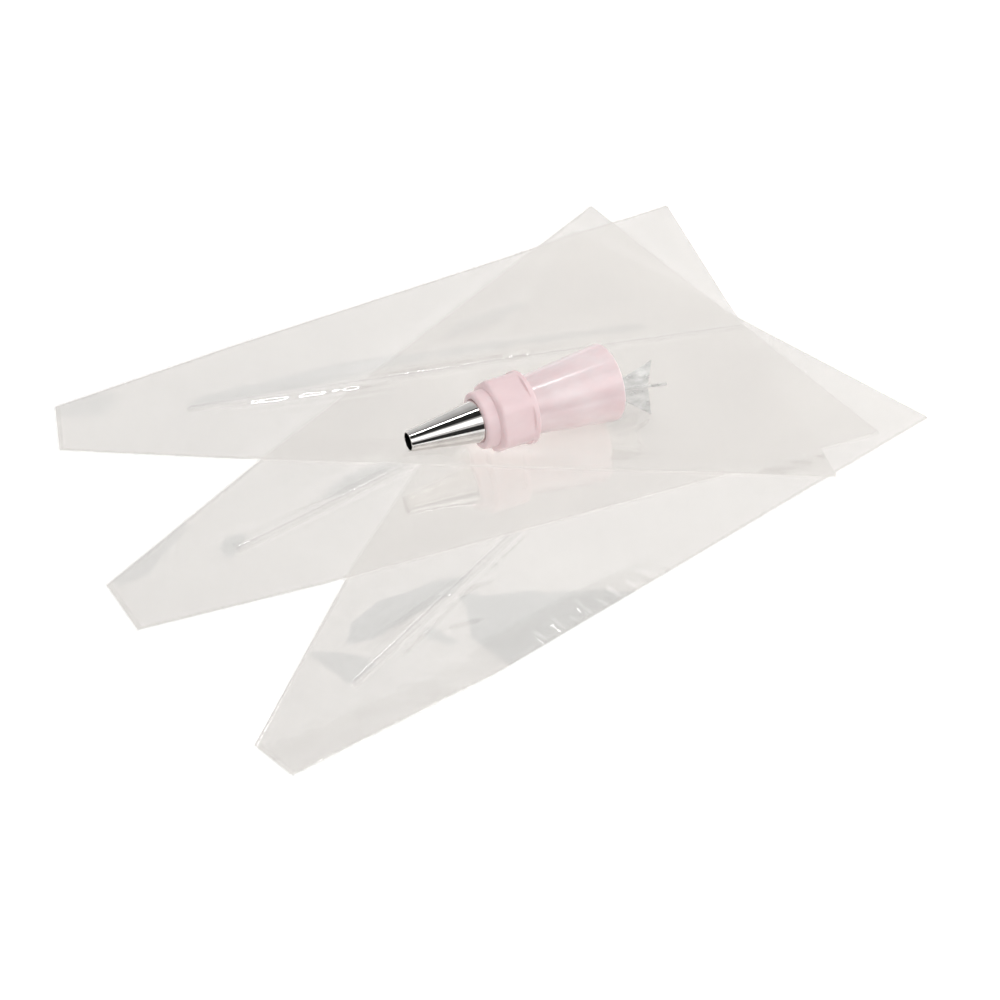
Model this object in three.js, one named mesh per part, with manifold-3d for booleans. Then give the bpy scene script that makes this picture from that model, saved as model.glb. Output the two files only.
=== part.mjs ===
// A set of three clear piping bags laid in a fan, with a coupler lying on the top bag.
// Millimetres, +Z up. The coupler's axis runs along X with the nozzle towards -X.

import * as THREE from 'three';
import { mergeVertices } from 'three/addons/utils/BufferGeometryUtils.js';
import Module from 'manifold-3d';

const wasm = await Module();
wasm.setup();

// ---- driving dimensions: bags ----

const CLEARANCE = 0.3;
const BAG_LENGTH = 300;
const MOUTH_HALF_WIDTH = 94.6;
const SHOULDER_FROM_TIP = 74;
const SHOULDER_HALF_WIDTH = 34.7;
const FILM_THICKNESS = 0.15;
const FILM_GAP = 0.15;
const FILMS_PER_BAG = 3;
const FILM_PITCH = FILM_THICKNESS + FILM_GAP;
const BAG_THICKNESS = FILMS_PER_BAG * FILM_PITCH - FILM_GAP;
const BAG_PITCH = BAG_THICKNESS + FILM_GAP;
const SIDE_SEAL_WIDTH = 2;
const TIP_SEAL_WIDTH = 2.5;
const SEAM_FROM_TIP = 45;
const SEAM_WIDTH = 4;

// Listed from the bottom of the stack; the bags share the middle of their open ends.
const BAGS = [
  { name: 'lower_bag', headingDeg: 25.0, mouthMiddle: [152.1, 54.7], tipWidth: 18.0 },
  { name: 'middle_bag', headingDeg: 10.7, mouthMiddle: [147.8, 62.9], tipWidth: 24.7 },
  { name: 'upper_bag', headingDeg: -10.3, mouthMiddle: [149.4, 49.3], tipWidth: 25.6 },
];

// ---- driving dimensions: coupler, as distances along X from the nozzle's outlet ----

const COUPLER_OUTLET = [-28.1, 25.9];
const ROUND_SEGMENTS = 48;
const SLIDING_GAP = 0.35;

const NOZZLE_OUTLET_RADIUS = 4.0;
const NOZZLE_TAPER = 0.156;
const NOZZLE_WALL = 0.5;
const NOZZLE_RIM_FROM = 37.3;
const NOZZLE_LENGTH = 38.8;
const NOZZLE_RIM_RADIUS = 10.7;

const NUT_FRONT = 29.5;
const COLLAR_LENGTH = 6;
const COLLAR_RADIUS = 11.5;
const COLLAR_EDGE = 0.8;
const NUT_ACROSS_FLATS = 28;
const NUT_CORNER_RADIUS = 15.1;
const NUT_RIM_FROM = 49.3;
const NUT_REAR = 51.3;
const NUT_RIM_RADIUS = 15.2;
const NUT_CORNER_ANGLE_DEG = 127;
const NUT_CAVITY_RADIUS = 11.1;
const NUT_BORE_RADIUS = 11.9;
const NUT_BORE_FROM = 40;
const NUT_LEAD_IN_RADIUS = 12.4;
const NUT_LEAD_IN_FROM = 47.5;
const CUT_OVERRUN = 1;

const BASE_NOSE_FROM = 33.8;
const BASE_NOSE_TO = 38.8;
const BASE_NECK_FROM = 39.2;
const BASE_NECK_RADIUS = 10.4;
const BASE_CONE_FROM = 48;
const BASE_CONE_RADIUS = 11.3;
const BASE_MOUTH_AT = 89.8;
const BASE_MOUTH_RADIUS = 16.4;
const BASE_WALL = 1.2;
const BASE_NOSE_WALL = 1.0;
const BASE_NECK_WALL = 1.7;

const THREAD_PITCH = 3.2;
const THREAD_STEPS_PER_TURN = 32;
const THREAD_ROOT_WIDTH = 1.5;
const THREAD_CREST_WIDTH = 0.7;
const THREAD_SINK = 0.2;
const THREAD_FADE_TURNS = 1 / 8;
const THREAD_END_HEIGHT = 0.1;
const BASE_THREAD = { from: 40.3, turns: 2, crestRadius: 11.5 };
const NUT_THREAD = { from: 40.3 + THREAD_PITCH / 2, turns: 1.4, crestRadius: 10.95 };

const DIVIDER_NOSE = [65.3, 0, 0];
const DIVIDER_YAW_DEG = -8.8;
const DIVIDER_DROOP_DEG = 4.3;
const DIVIDER_LENGTH = 42.5;
const DIVIDER_FLARE_FROM = 22;
const DIVIDER_STEM_RADIUS = 2.2;
const DIVIDER_CORE_RADIUS = 1.0;
const DIVIDER_CORE_SIDES = 12;
const DIVIDER_CORE_INSET = 0.5;
const DIVIDER_FLARE_BEND = [4, 1];
const DIVIDER_FLARE_RADIUS = 13.2;
const DIVIDER_TAIL_NOTCH = 2.5;
const DIVIDER_THICKNESS = 1.2;
const VANE_ANGLES_DEG = [9, 129, 249];

// ---- finishes ----

const film = new THREE.MeshStandardMaterial({
  color: 0xe9e6e1, roughness: 0.12, metalness: 0, transparent: true, opacity: 0.4,
});
const weld = new THREE.MeshStandardMaterial({
  color: 0xdedbd6, roughness: 0.25, metalness: 0, transparent: true, opacity: 0.6,
});
const steel = new THREE.MeshStandardMaterial({ color: 0xb9b6b0, roughness: 0.12, metalness: 1 });
const nutPink = new THREE.MeshStandardMaterial({ color: 0xebccd0, roughness: 0.45, metalness: 0 });
const basePink = new THREE.MeshStandardMaterial({ color: 0xe8c8cb, roughness: 0.2, metalness: 0 });
const clearPlastic = new THREE.MeshStandardMaterial({
  color: 0xf2f2ee, roughness: 0.05, metalness: 0, transparent: true, opacity: 0.35,
});

// ---- helpers ----

function named(name, geometry, material) {
  const mesh = new THREE.Mesh(geometry, material);
  mesh.name = name;
  return mesh;
}

function solidOf(geometry) {
  const bare = geometry.clone();
  bare.deleteAttribute('normal');
  bare.deleteAttribute('uv');
  const merged = mergeVertices(bare, 1e-4);
  return new wasm.Manifold(new wasm.Mesh({
    numProp: 3,
    vertProperties: new Float32Array(merged.attributes.position.array),
    triVerts: new Uint32Array(merged.index.array),
  }));
}

function geometryOf(solid) {
  const mesh = solid.getMesh();
  const geometry = new THREE.BufferGeometry();
  geometry.setAttribute('position', new THREE.BufferAttribute(mesh.vertProperties, mesh.numProp));
  geometry.setIndex(new THREE.BufferAttribute(mesh.triVerts, 1));
  geometry.computeVertexNormals();
  return geometry;
}

// A turned piece about the X axis. The profile lists [distance along X, radius]; it runs
// along the outside first, from the front to the rear, and back along the inside.
function turned(profile) {
  const points = profile.map(([along, radius]) => new THREE.Vector2(radius, along));
  const geometry = new THREE.LatheGeometry(points, ROUND_SEGMENTS);
  return geometry.rotateZ(-Math.PI / 2);
}

function turnedTube(profile) {
  return turned([...profile, profile[0]]);
}

// A helical ridge about X that starts on the +Y side and climbs along +X as it turns from
// +Y to +Z. Its root lies at rootRadius, its crest at crestRadius, and it fades in and out.
function threadRidge(rootRadius, { from, turns, crestRadius }) {
  const steps = Math.round(turns * THREAD_STEPS_PER_TURN);
  const fadeSteps = THREAD_STEPS_PER_TURN * THREAD_FADE_TURNS;
  const positions = [];
  for (let i = 0; i <= steps; i += 1) {
    const angle = (2 * Math.PI * i) / THREAD_STEPS_PER_TURN;
    const along = from + (THREAD_PITCH * i) / THREAD_STEPS_PER_TURN;
    const fade = Math.min(1, THREAD_END_HEIGHT + Math.min(i, steps - i) / fadeSteps);
    const crest = rootRadius + (crestRadius - rootRadius) * fade;
    const section = [
      [along - THREAD_ROOT_WIDTH / 2, rootRadius],
      [along - THREAD_CREST_WIDTH / 2, crest],
      [along + THREAD_CREST_WIDTH / 2, crest],
      [along + THREAD_ROOT_WIDTH / 2, rootRadius],
    ];
    for (const [x, radius] of section) {
      positions.push(x, radius * Math.cos(angle), radius * Math.sin(angle));
    }
  }
  const last = 4 * steps;
  const faces = [0, 1, 2, 0, 2, 3, last, last + 2, last + 1, last, last + 3, last + 2];
  for (let i = 0; i < last; i += 4) {
    for (let k = 0; k < 4; k += 1) {
      const next = (k + 1) % 4;
      faces.push(i + k, i + 4 + k, i + next, i + next, i + 4 + k, i + 4 + next);
    }
  }
  if (crestRadius < rootRadius) faces.reverse();
  return new wasm.Manifold(new wasm.Mesh({
    numProp: 3,
    vertProperties: new Float32Array(positions),
    triVerts: new Uint32Array(faces),
  }));
}

// ---- bags: x runs from the tip to the open end, y across ----

function slab(shape, bottom, thickness) {
  const geometry = new THREE.ExtrudeGeometry(shape, {
    depth: thickness, bevelEnabled: false, curveSegments: 6,
  });
  return geometry.translate(0, 0, bottom);
}

// Half the bag's width at a distance from the tip: two straight tapers.
function halfWidth(tipWidth, along) {
  const tip = tipWidth / 2;
  if (along < SHOULDER_FROM_TIP) {
    return tip + ((SHOULDER_HALF_WIDTH - tip) * along) / SHOULDER_FROM_TIP;
  }
  const rest = (along - SHOULDER_FROM_TIP) / (BAG_LENGTH - SHOULDER_FROM_TIP);
  return SHOULDER_HALF_WIDTH + (MOUTH_HALF_WIDTH - SHOULDER_HALF_WIDTH) * rest;
}

// The edge of one side from the tip to the mouth, drawn in by an inset.
function edge(tipWidth, side, inset, from) {
  return [from, SHOULDER_FROM_TIP, BAG_LENGTH].map(
    (along) => new THREE.Vector2(along, side * (halfWidth(tipWidth, along) - inset)),
  );
}

function filmShape(tipWidth, hasSeamSlot) {
  const inset = SIDE_SEAL_WIDTH + CLEARANCE;
  const from = TIP_SEAL_WIDTH + CLEARANCE;
  const right = edge(tipWidth, -1, inset, from);
  const left = edge(tipWidth, 1, inset, from).reverse();
  const shape = new THREE.Shape(right);
  if (hasSeamSlot) {
    const slotRadius = SEAM_WIDTH / 2 + CLEARANCE;
    const slotEnd = SEAM_FROM_TIP + SEAM_WIDTH / 2;
    shape.lineTo(BAG_LENGTH, -slotRadius);
    shape.lineTo(slotEnd, -slotRadius);
    shape.absarc(slotEnd, 0, slotRadius, -Math.PI / 2, Math.PI / 2, true);
    shape.lineTo(BAG_LENGTH, slotRadius);
  }
  left.forEach((point) => shape.lineTo(point.x, point.y));
  shape.closePath();
  return shape;
}

function sideSealShape(tipWidth, side) {
  const outer = edge(tipWidth, side, 0, 0);
  const inner = edge(tipWidth, side, SIDE_SEAL_WIDTH, 0).reverse();
  return new THREE.Shape([...outer, ...inner]);
}

function tipSealShape(tipWidth) {
  const half = halfWidth(tipWidth, 0) - SIDE_SEAL_WIDTH - CLEARANCE;
  return new THREE.Shape([
    new THREE.Vector2(0, -half), new THREE.Vector2(TIP_SEAL_WIDTH, -half),
    new THREE.Vector2(TIP_SEAL_WIDTH, half), new THREE.Vector2(0, half),
  ]);
}

function seamShape() {
  const radius = SEAM_WIDTH / 2;
  const shape = new THREE.Shape();
  shape.moveTo(BAG_LENGTH, radius);
  shape.lineTo(SEAM_FROM_TIP + radius, radius);
  shape.absarc(SEAM_FROM_TIP + radius, 0, radius, Math.PI / 2, (3 * Math.PI) / 2, false);
  shape.lineTo(BAG_LENGTH, -radius);
  shape.closePath();
  return shape;
}

function makeBag({ name, headingDeg, mouthMiddle, tipWidth }, level) {
  const bottom = level * BAG_PITCH;
  const heading = THREE.MathUtils.degToRad(headingDeg);
  const films = [['back_film', false], ['inner_film', true], ['front_film', true]];
  const bag = new THREE.Group();
  films.forEach(([filmName, hasSlot], index) => {
    const geometry = slab(filmShape(tipWidth, hasSlot), bottom + index * FILM_PITCH, FILM_THICKNESS);
    bag.add(named(`${name}_${filmName}`, geometry, film));
  });
  const seamBottom = bottom + FILM_PITCH;
  bag.add(
    named(`${name}_left_seal`, slab(sideSealShape(tipWidth, 1), bottom, BAG_THICKNESS), weld),
    named(`${name}_right_seal`, slab(sideSealShape(tipWidth, -1), bottom, BAG_THICKNESS), weld),
    named(`${name}_tip_seal`, slab(tipSealShape(tipWidth), bottom, BAG_THICKNESS), weld),
    named(`${name}_centre_seam`, slab(seamShape(), seamBottom, BAG_THICKNESS - FILM_PITCH), weld),
  );
  bag.rotation.z = heading;
  bag.position.set(
    mouthMiddle[0] - BAG_LENGTH * Math.cos(heading),
    mouthMiddle[1] - BAG_LENGTH * Math.sin(heading),
    0,
  );
  return bag;
}

// ---- coupler ----

function nozzleRadius(along) {
  return NOZZLE_OUTLET_RADIUS + NOZZLE_TAPER * along;
}

function makeNozzle() {
  const profile = [
    [0, nozzleRadius(0) - NOZZLE_WALL],
    [0, nozzleRadius(0)],
    [NOZZLE_RIM_FROM, nozzleRadius(NOZZLE_RIM_FROM)],
    [NOZZLE_RIM_FROM, NOZZLE_RIM_RADIUS],
    [NOZZLE_LENGTH, NOZZLE_RIM_RADIUS],
    [NOZZLE_LENGTH, nozzleRadius(NOZZLE_LENGTH) - NOZZLE_WALL],
  ];
  return named('nozzle', turnedTube(profile), steel);
}

// The nut grips the nozzle's cone in a tapered seat, and screws on the base's neck.
function makeNut() {
  const collarRear = NUT_FRONT + COLLAR_LENGTH;
  const collar = solidOf(turned([
    [NUT_FRONT, 0],
    [NUT_FRONT, COLLAR_RADIUS - COLLAR_EDGE],
    [NUT_FRONT + COLLAR_EDGE, COLLAR_RADIUS],
    [NUT_REAR, COLLAR_RADIUS],
    [NUT_REAR, 0],
  ]));
  const bar = solidOf(turned([
    [collarRear, 0],
    [collarRear, NUT_CORNER_RADIUS],
    [NUT_REAR, NUT_CORNER_RADIUS],
    [NUT_REAR, 0],
  ]));
  const rim = solidOf(turned([
    [NUT_RIM_FROM, 0],
    [NUT_RIM_FROM, NUT_RIM_RADIUS],
    [NUT_REAR, NUT_RIM_RADIUS],
    [NUT_REAR, 0],
  ]));
  const hexRadius = NUT_ACROSS_FLATS / 2 / Math.cos(Math.PI / 6);
  const hexLength = NUT_REAR - collarRear;
  const hexBar = new THREE.CylinderGeometry(hexRadius, hexRadius, hexLength, 6)
    .rotateZ(-Math.PI / 2)
    .rotateX(THREE.MathUtils.degToRad(NUT_CORNER_ANGLE_DEG - 90))
    .translate(collarRear + hexLength / 2, 0, 0);
  const seatRear = NOZZLE_RIM_FROM - CLEARANCE;
  const bore = solidOf(turned([
    [NUT_FRONT - CUT_OVERRUN, 0],
    [NUT_FRONT - CUT_OVERRUN, nozzleRadius(NUT_FRONT - CUT_OVERRUN) + SLIDING_GAP],
    [seatRear, nozzleRadius(seatRear) + SLIDING_GAP],
    [seatRear, NUT_CAVITY_RADIUS],
    [NUT_BORE_FROM, NUT_CAVITY_RADIUS],
    [NUT_BORE_FROM, NUT_BORE_RADIUS],
    [NUT_LEAD_IN_FROM, NUT_BORE_RADIUS],
    [NUT_LEAD_IN_FROM, NUT_LEAD_IN_RADIUS],
    [NUT_REAR + CUT_OVERRUN, NUT_LEAD_IN_RADIUS],
    [NUT_REAR + CUT_OVERRUN, 0],
  ]));
  const thread = threadRidge(NUT_BORE_RADIUS + THREAD_SINK, NUT_THREAD);
  const outside = bar.intersect(solidOf(hexBar)).add(collar).add(rim);
  return named('nut', geometryOf(outside.subtract(bore).add(thread)), nutPink);
}

function makeBase() {
  const noseRadius = (along) => nozzleRadius(along) - NOZZLE_WALL - SLIDING_GAP;
  const body = solidOf(turnedTube([
    [BASE_NOSE_FROM, noseRadius(BASE_NOSE_FROM) - BASE_NOSE_WALL],
    [BASE_NOSE_FROM, noseRadius(BASE_NOSE_FROM)],
    [BASE_NOSE_TO, noseRadius(BASE_NOSE_TO)],
    [BASE_NECK_FROM, noseRadius(BASE_NOSE_TO)],
    [BASE_NECK_FROM, BASE_NECK_RADIUS],
    [BASE_CONE_FROM, BASE_NECK_RADIUS],
    [BASE_CONE_FROM, BASE_CONE_RADIUS],
    [BASE_MOUTH_AT, BASE_MOUTH_RADIUS],
    [BASE_MOUTH_AT, BASE_MOUTH_RADIUS - BASE_WALL],
    [BASE_CONE_FROM, BASE_CONE_RADIUS - BASE_WALL],
    [BASE_CONE_FROM - BASE_WALL, BASE_NECK_RADIUS - BASE_NECK_WALL],
    [BASE_NECK_FROM, BASE_NECK_RADIUS - BASE_NECK_WALL],
  ]));
  const thread = threadRidge(BASE_NECK_RADIUS - THREAD_SINK, BASE_THREAD);
  return named('base', geometryOf(body.add(thread)), basePink);
}

// Three vanes at 120 degrees on a slim stem; the vanes flare out behind the base's mouth.
function makeDivider() {
  const outline = new THREE.Shape();
  outline.moveTo(0, 0);
  outline.lineTo(DIVIDER_LENGTH - DIVIDER_TAIL_NOTCH, 0);
  outline.lineTo(DIVIDER_LENGTH, DIVIDER_FLARE_RADIUS);
  outline.quadraticCurveTo(
    DIVIDER_FLARE_FROM + DIVIDER_FLARE_BEND[0], DIVIDER_STEM_RADIUS + DIVIDER_FLARE_BEND[1],
    DIVIDER_FLARE_FROM, DIVIDER_STEM_RADIUS,
  );
  outline.lineTo(0, DIVIDER_STEM_RADIUS);
  outline.closePath();
  const vane = new THREE.ExtrudeGeometry(outline, {
    depth: DIVIDER_THICKNESS, bevelEnabled: false, curveSegments: 8,
  }).translate(0, 0, -DIVIDER_THICKNESS / 2);
  const coreLength = DIVIDER_LENGTH - DIVIDER_TAIL_NOTCH - 2 * DIVIDER_CORE_INSET;
  const core = new THREE.CylinderGeometry(
    DIVIDER_CORE_RADIUS, DIVIDER_CORE_RADIUS, coreLength, DIVIDER_CORE_SIDES,
  )
    .rotateZ(-Math.PI / 2)
    .translate(coreLength / 2 + DIVIDER_CORE_INSET, 0, 0);
  const vanes = VANE_ANGLES_DEG.map(
    (angle) => solidOf(vane.clone().rotateX(THREE.MathUtils.degToRad(angle))),
  );
  const solid = vanes.reduce((joined, next) => joined.add(next), solidOf(core));
  const divider = named('divider', geometryOf(solid), clearPlastic);
  divider.position.set(...DIVIDER_NOSE);
  divider.rotation.set(
    0,
    THREE.MathUtils.degToRad(DIVIDER_DROOP_DEG),
    THREE.MathUtils.degToRad(DIVIDER_YAW_DEG),
    'ZYX',
  );
  return divider;
}

// ---- assembly ----

const stackTop = BAGS.length * BAG_PITCH;

const coupler = new THREE.Group();
coupler.add(makeNozzle(), makeNut(), makeBase(), makeDivider());
coupler.position.set(COUPLER_OUTLET[0], COUPLER_OUTLET[1], stackTop + BASE_MOUTH_RADIUS);

const pipingBagSet = new THREE.Group();
pipingBagSet.add(...BAGS.map(makeBag), coupler);

// The frame's origin is the middle of the footprint, on the table.
const footprint = new THREE.Box3().setFromObject(pipingBagSet, true);
const middle = footprint.getCenter(new THREE.Vector3());
pipingBagSet.position.set(-middle.x, -middle.y, -footprint.min.z);

export default pipingBagSet;
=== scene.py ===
"""Looks for a fan of three clear piping bags with a coupler lying on the top bag.

Metres, +Z up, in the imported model's frame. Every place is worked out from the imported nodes: the
bags' outlines from their side welds, and the coupler's axis from the nozzle. Each film, weld and
moulded piece is a surface of two parameters, computed with numpy and written as a closed mesh.
"""

import logging
import math
from dataclasses import dataclass, field
from enum import Enum

import bpy
import numpy as np
from mathutils import Matrix, Vector


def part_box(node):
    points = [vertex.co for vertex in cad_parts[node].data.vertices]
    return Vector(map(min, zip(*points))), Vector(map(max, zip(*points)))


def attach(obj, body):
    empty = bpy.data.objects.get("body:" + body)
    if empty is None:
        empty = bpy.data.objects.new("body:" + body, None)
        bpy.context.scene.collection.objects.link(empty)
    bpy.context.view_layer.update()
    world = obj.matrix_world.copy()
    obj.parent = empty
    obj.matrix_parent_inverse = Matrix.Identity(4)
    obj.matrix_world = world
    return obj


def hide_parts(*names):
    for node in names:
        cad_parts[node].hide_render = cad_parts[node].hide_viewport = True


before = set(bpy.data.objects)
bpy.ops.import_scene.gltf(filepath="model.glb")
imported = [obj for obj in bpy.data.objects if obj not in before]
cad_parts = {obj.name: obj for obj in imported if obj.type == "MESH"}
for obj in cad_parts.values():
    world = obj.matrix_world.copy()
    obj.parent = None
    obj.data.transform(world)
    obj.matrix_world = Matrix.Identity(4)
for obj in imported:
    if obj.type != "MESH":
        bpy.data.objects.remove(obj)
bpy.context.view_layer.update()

MM = 0.001
# The colour of the painted glow of every film and weld: a faint light of their own that softens shadows on
# them.
PAINTED_GLOW_COLOUR = (1.0, 0.97, 0.95, 1.0)
# The angle from which a flat card's or the floor's edges stay sharp.
CARD_SHARP_DEG = 30.0
# Points along each rounded corner of a turned profile.
CORNER_POINTS = 5
# The share of a crease's length over which each of its ends fades.
END_SHARE = 0.25
LOG = logging.getLogger("piping_bag_set")


# ---------------------------------------------------------------- meshes


def smooth_step(value: np.ndarray, low: float, high: float) -> np.ndarray:
    """A smooth rise from 0 at low to 1 at high: 3t^2 - 2t^3 of the share t of the way.

    Args:
        value: where to evaluate it.
        low: the value at which the rise starts.
        high: the value at which it ends.

    Returns:
        The share, from 0 to 1, in the shape of value.
    """
    share = np.clip((value - low) / (high - low), 0.0, 1.0)
    return share * share * (3.0 - 2.0 * share)


def bell(distance: np.ndarray, width: float) -> np.ndarray:
    """A bell of height 1: e to the power of minus the square of distance over width."""
    return np.exp(-np.square(distance / width))


def ring_quads(rows: int, columns: int, close_rows: bool) -> np.ndarray:
    """Faces of a grid whose columns go once round and close, and whose rows may close too.

    Args:
        rows: points along the profile.
        columns: points round the axis.
        close_rows: whether the last row joins the first one.

    Returns:
        An array of quads, wound so that a profile which runs rearwards outside faces outwards.
    """
    row = np.arange(rows if close_rows else rows - 1)[:, None]
    column = np.arange(columns)[None, :]
    next_row = (row + 1) % rows
    next_column = (column + 1) % columns
    quads = np.stack(
        [
            row * columns + column,
            row * columns + next_column,
            next_row * columns + next_column,
            next_row * columns + column,
        ],
        axis=-1,
    )
    return quads.reshape(-1, 4)


def write_mesh(name: str, points: np.ndarray, faces: list[np.ndarray], sharp_deg: float) -> bpy.types.Object:
    """Writes arrays of points and faces into a new mesh object at the origin.

    Args:
        name: the piece's name.
        points: one row of x, y and z for each vertex, in metres.
        faces: arrays of faces, each with three or four vertices in a row.
        sharp_deg: the angle between two faces from which their edge stays sharp.

    Returns:
        The new object, linked to the scene.
    """
    mesh = bpy.data.meshes.new(name)
    corners = np.concatenate([block.ravel() for block in faces]).astype(np.int32)
    sizes = np.concatenate([np.full(len(block), block.shape[1]) for block in faces])
    starts = np.concatenate([[0], np.cumsum(sizes)[:-1]]).astype(np.int32)
    mesh.vertices.add(len(points))
    mesh.vertices.foreach_set("co", points.astype(np.float32).ravel())
    mesh.loops.add(len(corners))
    mesh.loops.foreach_set("vertex_index", corners)
    mesh.polygons.add(len(sizes))
    mesh.polygons.foreach_set("loop_start", starts)
    mesh.update(calc_edges=True)
    mesh.validate()
    mesh.polygons.foreach_set("use_smooth", np.ones(len(mesh.polygons), dtype=bool))
    mesh.set_sharp_from_angle(angle=math.radians(sharp_deg))
    piece = bpy.data.objects.new(name, mesh)
    bpy.context.scene.collection.objects.link(piece)
    return piece


def closed_sheet(name: str, top: np.ndarray, bottom: np.ndarray, sharp_deg: float = 50.0) -> bpy.types.Object:
    """A thin closed shell between two grids of points that share their layout.

    The top grid's faces look up, the bottom grid's look down, and a wall of quads joins the two
    along the border, which is walked anticlockwise as seen from above.

    Args:
        name: the piece's name.
        top: rows by columns by 3 points, rows along the piece and columns to its left.
        bottom: the points beneath them.
        sharp_deg: the angle from which an edge stays sharp.

    Returns:
        The new object.
    """
    rows, columns = top.shape[:2]
    count = rows * columns
    index = np.arange(count).reshape(rows, columns)
    quads = np.stack([index[:-1, :-1], index[1:, :-1], index[1:, 1:], index[:-1, 1:]], axis=-1).reshape(-1, 4)
    border = np.concatenate([index[:-1, 0], index[-1, :-1], index[:0:-1, -1], index[0, :0:-1]])
    onward = np.roll(border, -1)
    wall = np.stack([border + count, onward + count, onward, border], axis=-1)
    points = np.concatenate([top.reshape(-1, 3), bottom.reshape(-1, 3)])
    return write_mesh(name, points, [quads, quads[:, ::-1] + count, wall], sharp_deg)


def flat_card(name: str, width: float, height: float) -> bpy.types.Object:
    """A rectangle of one face in the XY plane, centred on the origin and facing up.

    Args:
        name: the object's name.
        width: its size along X.
        height: its size along Y.

    Returns:
        The new object.
    """
    half = np.array([width, height, 0.0]) / 2.0
    corners = np.array([[-1, -1, 0], [1, -1, 0], [1, 1, 0], [-1, 1, 0]]) * half
    return write_mesh(name, corners, [np.array([[0, 1, 2, 3]])], CARD_SHARP_DEG)


def direction(azimuth_deg: float, elevation_deg: float) -> Vector:
    """The unit vector towards an azimuth, counted from -Y towards +X, and an elevation.

    Args:
        azimuth_deg: the azimuth.
        elevation_deg: the angle above the floor.

    Returns:
        The direction from the middle of the set.
    """
    turn = math.radians(azimuth_deg)
    rise = math.radians(elevation_deg)
    return Vector((math.sin(turn) * math.cos(rise), -math.cos(turn) * math.cos(rise), math.sin(rise)))


def set_point_attribute(piece: bpy.types.Object, name: str, values: np.ndarray) -> None:
    """Stores one number for each vertex under a name that materials can read."""
    attribute = piece.data.attributes.new(name, "FLOAT", "POINT")
    attribute.data.foreach_set("value", values.astype(np.float32).ravel())


# ---------------------------------------------------------------- finishes


class Nodes:
    """A short way to write a material's node tree."""

    def __init__(self, name: str) -> None:
        """Makes a material that holds one Principled shader and its output.

        Args:
            name: the material's name.
        """
        self.material = bpy.data.materials.new(name)
        self.material.use_nodes = True
        self.tree = self.material.node_tree
        self.shader = self.tree.nodes["Principled BSDF"]

    def add(self, kind: str, **values: object) -> bpy.types.Node:
        """Adds a node and sets its properties, or its inputs where no property has that name.

        Args:
            kind: the node's type.
            values: properties or inputs, with spaces in their names written as underscores.

        Returns:
            The new node.
        """
        node = self.tree.nodes.new(kind)
        for name, value in values.items():
            if hasattr(node, name):
                setattr(node, name, value)
            else:
                node.inputs[name.replace("_", " ")].default_value = value
        return node

    def link(self, source: bpy.types.NodeSocket, target: bpy.types.NodeSocket) -> None:
        """Joins an output to an input."""
        self.tree.links.new(source, target)

    def set(self, **values: object) -> None:
        """Sets constants on the shader's own sockets."""
        for name, value in values.items():
            self.shader.inputs[name.replace("_", " ")].default_value = value

    def place(self, scale: tuple[float, float, float]) -> bpy.types.NodeSocket:
        """Object coordinates, scaled along each axis.

        Args:
            scale: the factor along X, Y and Z, in cycles a metre where noise reads it.

        Returns:
            The scaled coordinates.
        """
        coordinates = self.add("ShaderNodeTexCoord")
        mapping = self.add("ShaderNodeMapping", Scale=scale)
        self.link(coordinates.outputs["Object"], mapping.inputs["Vector"])
        return mapping.outputs["Vector"]

    def noise(self, scale: tuple[float, float, float], detail: float) -> bpy.types.NodeSocket:
        """Noise on scaled object coordinates, from 0 to 1.

        Args:
            scale: the noise's cycles a metre along each axis.
            detail: how many finer octaves it has.

        Returns:
            The noise.
        """
        texture = self.add("ShaderNodeTexNoise", Detail=detail, Scale=1.0)
        self.link(self.place(scale), texture.inputs["Vector"])
        return texture.outputs["Fac"]

    def spread(self, source: bpy.types.NodeSocket, low: float, high: float) -> bpy.types.NodeSocket:
        """Maps 0.3 to 0.7, where noise mostly lies, onto low to high.

        Args:
            source: the noise.
            low: the result at 0.3 and below.
            high: the result at 0.7 and above.

        Returns:
            The mapped value.
        """
        ranged = self.add("ShaderNodeMapRange", From_Min=0.3, From_Max=0.7, To_Min=low, To_Max=high)
        self.link(source, ranged.inputs["Value"])
        return ranged.outputs["Result"]

    def blend(
        self,
        share: bpy.types.NodeSocket,
        first: tuple[float, ...] | bpy.types.NodeSocket,
        second: tuple[float, ...] | bpy.types.NodeSocket,
    ) -> bpy.types.NodeSocket:
        """A colour between two constants or outputs, by a share from 0 to 1.

        Args:
            share: 0 for the first colour, 1 for the second.
            first: a colour or an output.
            second: a colour or an output.

        Returns:
            The mixed colour.
        """
        mix = self.add("ShaderNodeMix", data_type="RGBA")
        self.link(share, mix.inputs["Factor"])
        ends = [socket for socket in mix.inputs if socket.type == "RGBA"]
        for end, colour in zip(ends, (first, second)):
            if isinstance(colour, bpy.types.NodeSocket):
                self.link(colour, end)
            else:
                end.default_value = (*colour, 1.0)
        return [socket for socket in mix.outputs if socket.type == "RGBA"][0]

    def bump(self, height: bpy.types.NodeSocket, distance: float, strength: float) -> None:
        """Lets a height drive the shader's normal.

        Args:
            height: the height, from 0 to 1.
            distance: how far 1 stands out, in metres.
            strength: how much of the effect is used.
        """
        node = self.add("ShaderNodeBump", Distance=distance, Strength=strength)
        self.link(height, node.inputs["Height"])
        self.link(node.outputs["Normal"], self.shader.inputs["Normal"])


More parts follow.
